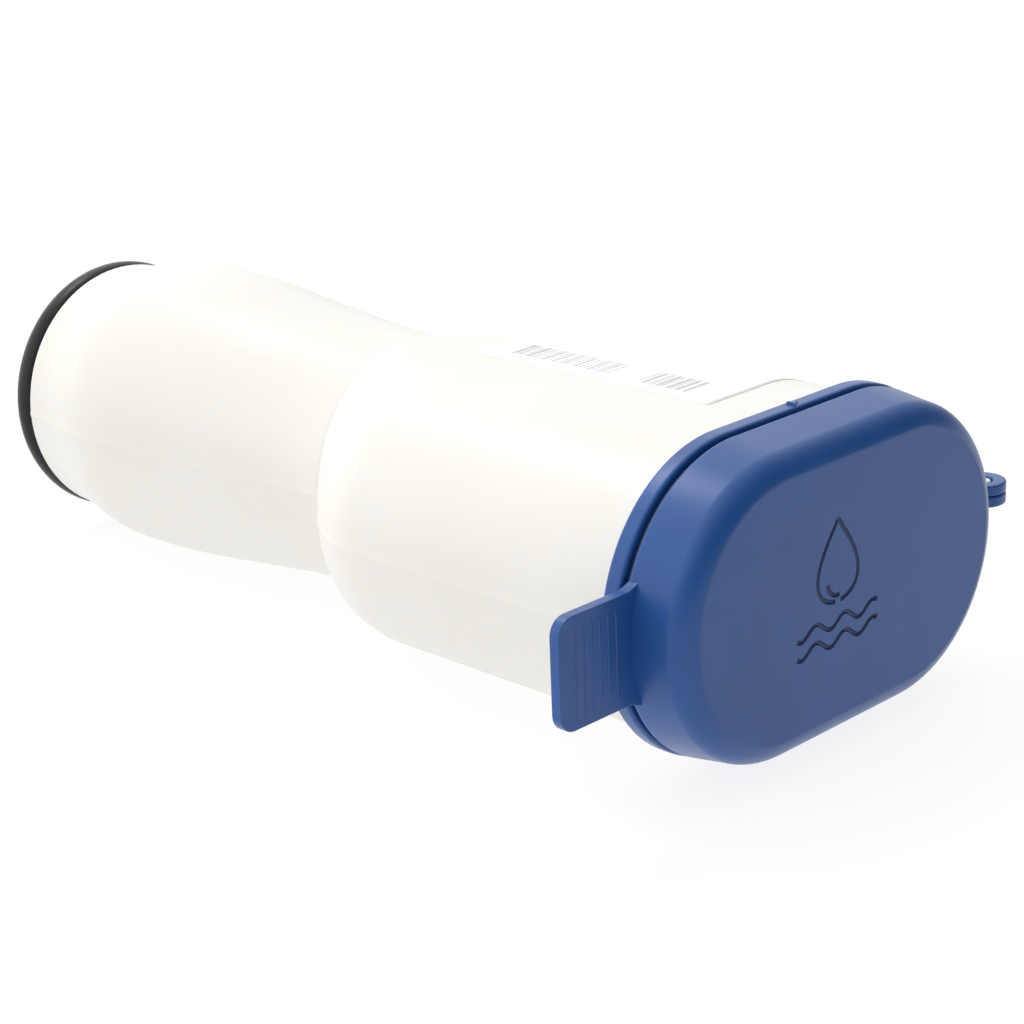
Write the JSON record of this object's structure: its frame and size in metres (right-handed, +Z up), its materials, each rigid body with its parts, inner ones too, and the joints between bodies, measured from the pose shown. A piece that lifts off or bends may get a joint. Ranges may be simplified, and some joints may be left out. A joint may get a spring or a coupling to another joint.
{
  "type": "pump water filter",
  "caption": "Hand pump water filter: round white grip and oval tank, hinged oval lid over hose barbs and filter cartridge, pull handle and piston at the rear.",
  "frame": {"origin": "on the ground under the middle of the filter as it lies on its side, at the bottom centre of its box", "axes": "+Y along the tube from the lid to the pump handle, +X towards the lid's hinge, +Z up"},
  "size_m": [0.1359, 0.2254, 0.0672],
  "materials": {
    "white_plastic": "milky, translucent, satin",
    "blue_plastic": "satin blue moulding",
    "black_rubber": "smooth, slightly glossy",
    "black_plastic": "satin",
    "grey_plastic": "satin",
    "seal_rubber": "matt",
    "silicone": "clear silicone, satin",
    "ceramic": "matt, chalky",
    "carbon": "matt, granular",
    "foam": "open-cell foam",
    "steel": "bright",
    "paper": "printed film label"
  },
  "bodies": {
    "housing": {"tank_shell": "white_plastic", "grip_shell": "white_plastic", "label": "paper", "rear_liner": "white_plastic", "front_collar": "blue_plastic", "lid_seal": "seal_rubber", "hinge_pin": "steel", "front_deck": "white_plastic", "intake_barb": "grey_plastic", "outlet_barb": "grey_plastic", "outlet_dust_cap": "blue_plastic", "intake_tube": "silicone", "outlet_tube": "silicone", "bowl_front_seal": "seal_rubber", "filter_bowl": "white_plastic", "bowl_rear_seal": "seal_rubber", "ceramic_element": "ceramic", "carbon_core": "carbon", "foam_prefilter": "foam", "cartridge_front_cap": "blue_plastic", "cartridge_rear_cap": "blue_plastic", "core_tube": "grey_plastic", "nipple_seal": "seal_rubber", "valve_manifold": "grey_plastic", "manifold_gasket": "seal_rubber", "valve_block": "grey_plastic", "barrel_head": "grey_plastic", "inlet_seat": "seal_rubber", "inlet_spring": "steel", "outlet_seat": "seal_rubber", "outlet_spring": "steel", "pump_barrel": "grey_plastic", "rear_bulkhead": "grey_plastic", "bulkhead_screw_1": "steel", "bulkhead_screw_2": "steel", "bulkhead_screw_3": "steel", "rod_gland": "black_plastic", "rod_wiper": "seal_rubber"},
    "lid": {"lid": "blue_plastic"},
    "cartridge_cap": {"cartridge_cap": "grey_plastic", "cap_seal": "seal_rubber"},
    "inlet_valve": {"inlet_poppet": "black_plastic"},
    "outlet_valve": {"outlet_poppet": "black_plastic"},
    "piston": {"piston_rod": "steel", "piston": "black_plastic", "piston_seal_front": "seal_rubber", "piston_seal_rear": "seal_rubber", "piston_nut": "steel"},
    "handle": {"pump_handle": "black_plastic", "grip_ring": "black_rubber", "handle_screw": "steel"}
  },
  "joints": [
    {"name": "lid_hinge", "type": "hinge", "parent": "housing", "child": "lid", "pos_m": [0.063, -0.0985, 0.0336], "axis": [0, 0, 1], "range_deg": [0, 175]},
    {"name": "cartridge_cap_turn", "type": "hinge", "parent": "housing", "child": "cartridge_cap", "pos_m": [0, -0.0864, 0.0336], "axis": [0, -1, 0], "range_deg": [0, 90]},
    {"name": "pump_slide", "type": "slide", "parent": "housing", "child": "piston", "axis": [0, 1, 0], "range_m": [0, 0.055]},
    {"name": "handle_swivel", "type": "hinge", "parent": "piston", "child": "handle", "pos_m": [0, 0.0903, 0.0336], "axis": [0, 1, 0], "continuous": true},
    {"name": "inlet_valve_lift", "type": "slide", "parent": "housing", "child": "inlet_valve", "axis": [0, 1, 0], "range_m": [0, 0.002], "stiffness_N_per_m": 60, "springref_m": -0.002, "deforming": ["inlet_spring"]},
    {"name": "outlet_valve_lift", "type": "slide", "parent": "housing", "child": "outlet_valve", "axis": [0, -1, 0], "range_m": [0, 0.002], "stiffness_N_per_m": 60, "springref_m": -0.002, "deforming": ["outlet_spring"]}
  ]
}
